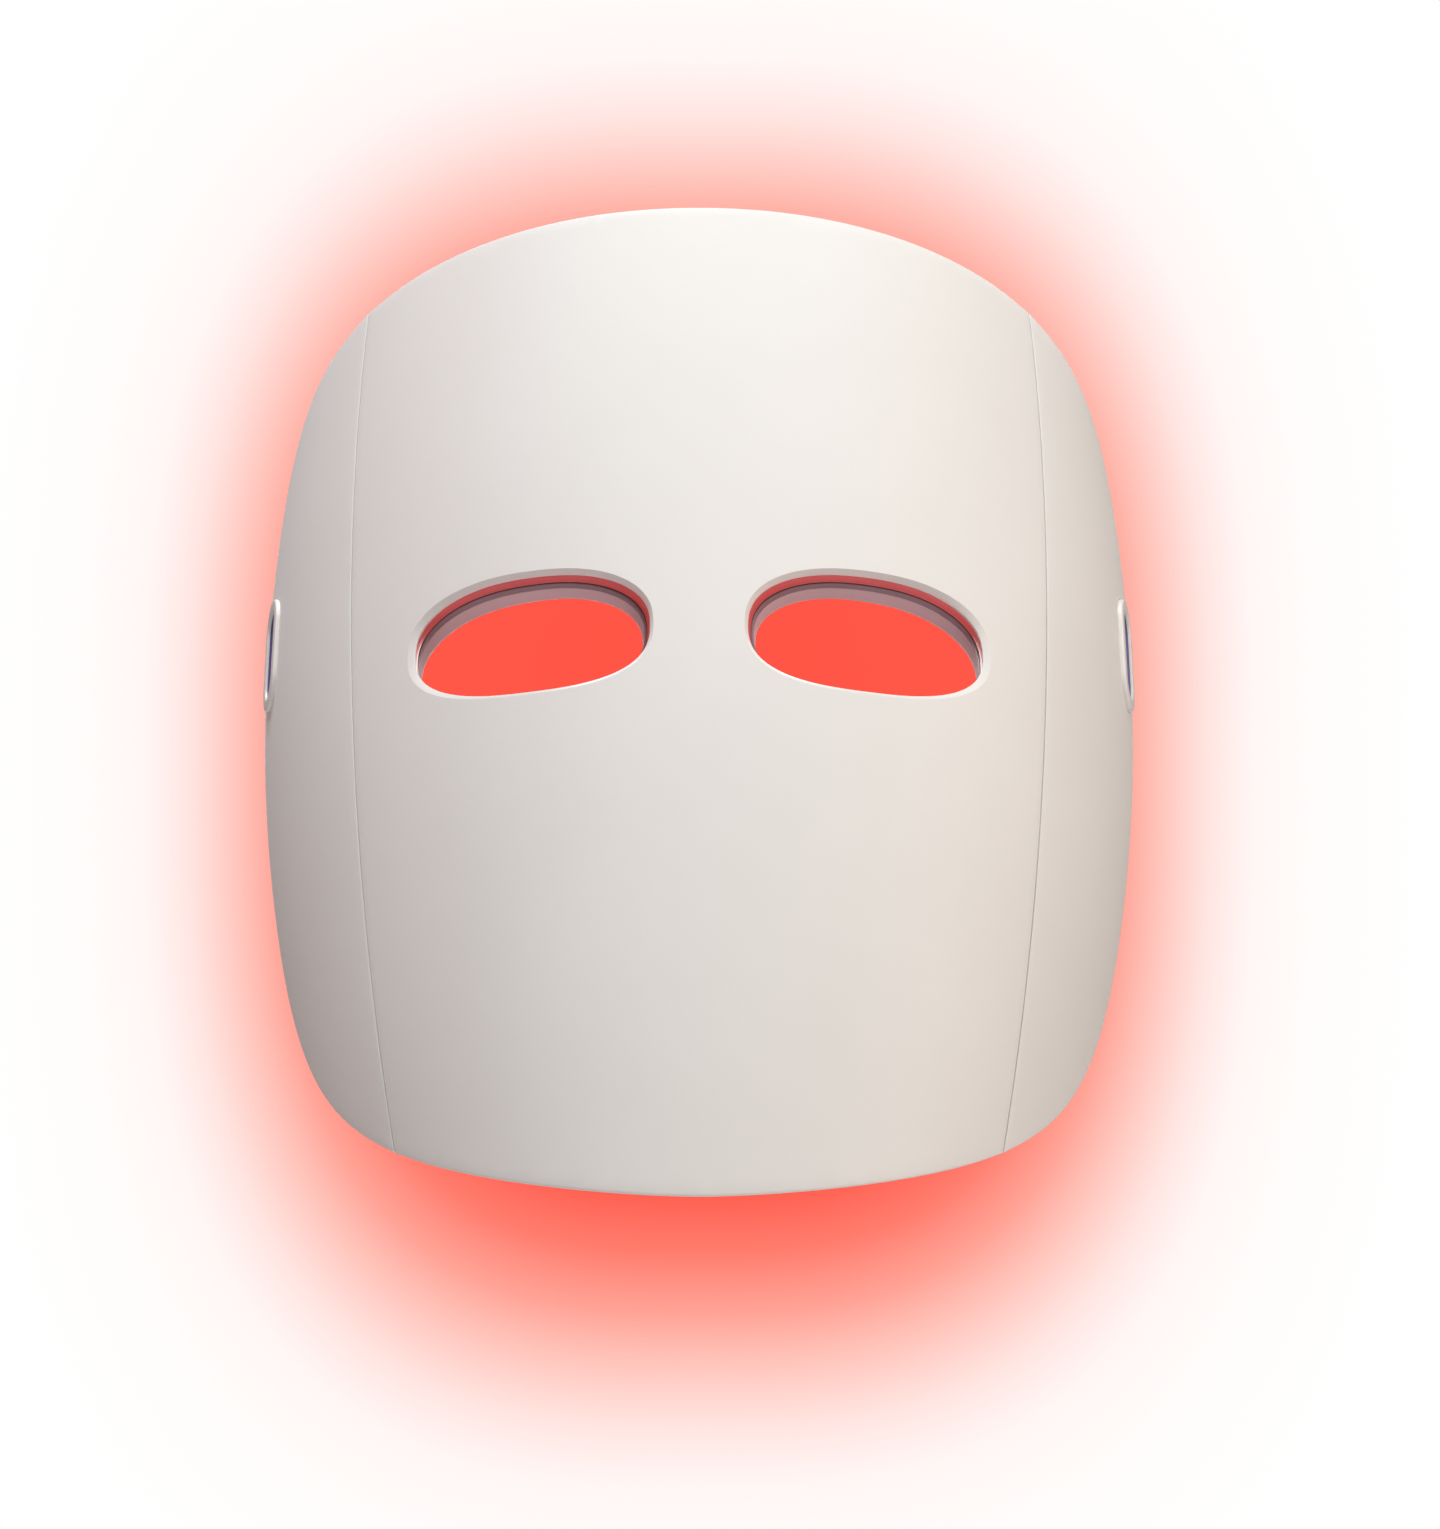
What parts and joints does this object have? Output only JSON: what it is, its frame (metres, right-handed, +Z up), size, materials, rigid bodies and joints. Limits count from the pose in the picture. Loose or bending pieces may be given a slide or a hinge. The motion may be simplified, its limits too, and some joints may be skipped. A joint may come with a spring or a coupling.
{
  "type": "led face mask",
  "caption": "Curved rigid face mask lit from inside, with two lined eye openings, folding side wings and strap slots.",
  "frame": {"origin": "centre of the nose rest's rear face, level with the wearer's eyes, where the face holds the mask", "axes": "+Z up, the mask looks along -Y, +X is the wearer's left"},
  "size_m": [0.1916, 0.0855, 0.2105],
  "materials": {
    "shell": "soft-touch off-white",
    "bezel": "smooth off-white",
    "sleeve": "satin indigo",
    "led_board": "white flexible circuit",
    "liner": "translucent, lit red",
    "light_ring": "translucent crimson, lit",
    "seal": "matte near-black",
    "eye_frame": "satin dark mauve",
    "silicone": "matte mauve silicone",
    "steel": "stamped sheet",
    "pin": "polished",
    "screw": "plain",
    "circuit": "solder mask",
    "battery": "foil pouch",
    "button": "satin",
    "window": "diffusing"
  },
  "bodies": {
    "front_panel": {"battery_cell": "battery", "brow_pad": "silicone", "charging_port": "steel", "control_board": "circuit", "front_led_board": "led_board", "front_lens": "liner", "front_screw_lower_left": "screw", "front_screw_lower_right": "screw", "front_screw_upper_left": "screw", "front_screw_upper_right": "screw", "front_shell": "shell", "indicator_window": "window", "left_eye_cushion": "silicone", "left_eye_frame": "eye_frame", "left_eye_light_ring": "light_ring", "left_eye_seal": "seal", "left_lower_hinge_front_leaf": "steel", "left_lower_hinge_pin": "pin", "left_upper_hinge_front_leaf": "steel", "left_upper_hinge_pin": "pin", "nose_rest": "silicone", "right_eye_cushion": "silicone", "right_eye_frame": "eye_frame", "right_eye_light_ring": "light_ring", "right_eye_seal": "seal", "right_lower_hinge_front_leaf": "steel", "right_lower_hinge_pin": "pin", "right_upper_hinge_front_leaf": "steel", "right_upper_hinge_pin": "pin"},
    "left_wing": {"left_lower_hinge_wing_leaf": "steel", "left_strap_bezel": "bezel", "left_strap_sleeve": "sleeve", "left_upper_hinge_wing_leaf": "steel", "left_wing_led_board": "led_board", "left_wing_lens": "liner", "left_wing_screw_lower": "screw", "left_wing_screw_upper": "screw", "left_wing_shell": "shell"},
    "right_wing": {"right_lower_hinge_wing_leaf": "steel", "right_strap_bezel": "bezel", "right_strap_sleeve": "sleeve", "right_upper_hinge_wing_leaf": "steel", "right_wing_led_board": "led_board", "right_wing_lens": "liner", "right_wing_screw_lower": "screw", "right_wing_screw_upper": "screw", "right_wing_shell": "shell"},
    "power_button": {"power_button": "button"}
  },
  "joints": [
    {"name": "left_wing_fold", "type": "hinge", "parent": "front_panel", "child": "left_wing", "pos_m": [0.06223, 0.02173, -0.005], "axis": [0.0614, 0.0398, 0.9973], "range_deg": [0, 40]},
    {"name": "right_wing_fold", "type": "hinge", "parent": "front_panel", "child": "right_wing", "pos_m": [-0.06223, 0.02173, -0.005], "axis": [0.0614, -0.0398, -0.9973], "range_deg": [0, 40]},
    {"name": "power_button_press", "type": "slide", "parent": "front_panel", "child": "power_button", "axis": [0, 0, -1], "range_m": [0, 0.0006], "stiffness_N_per_m": 800}
  ]
}
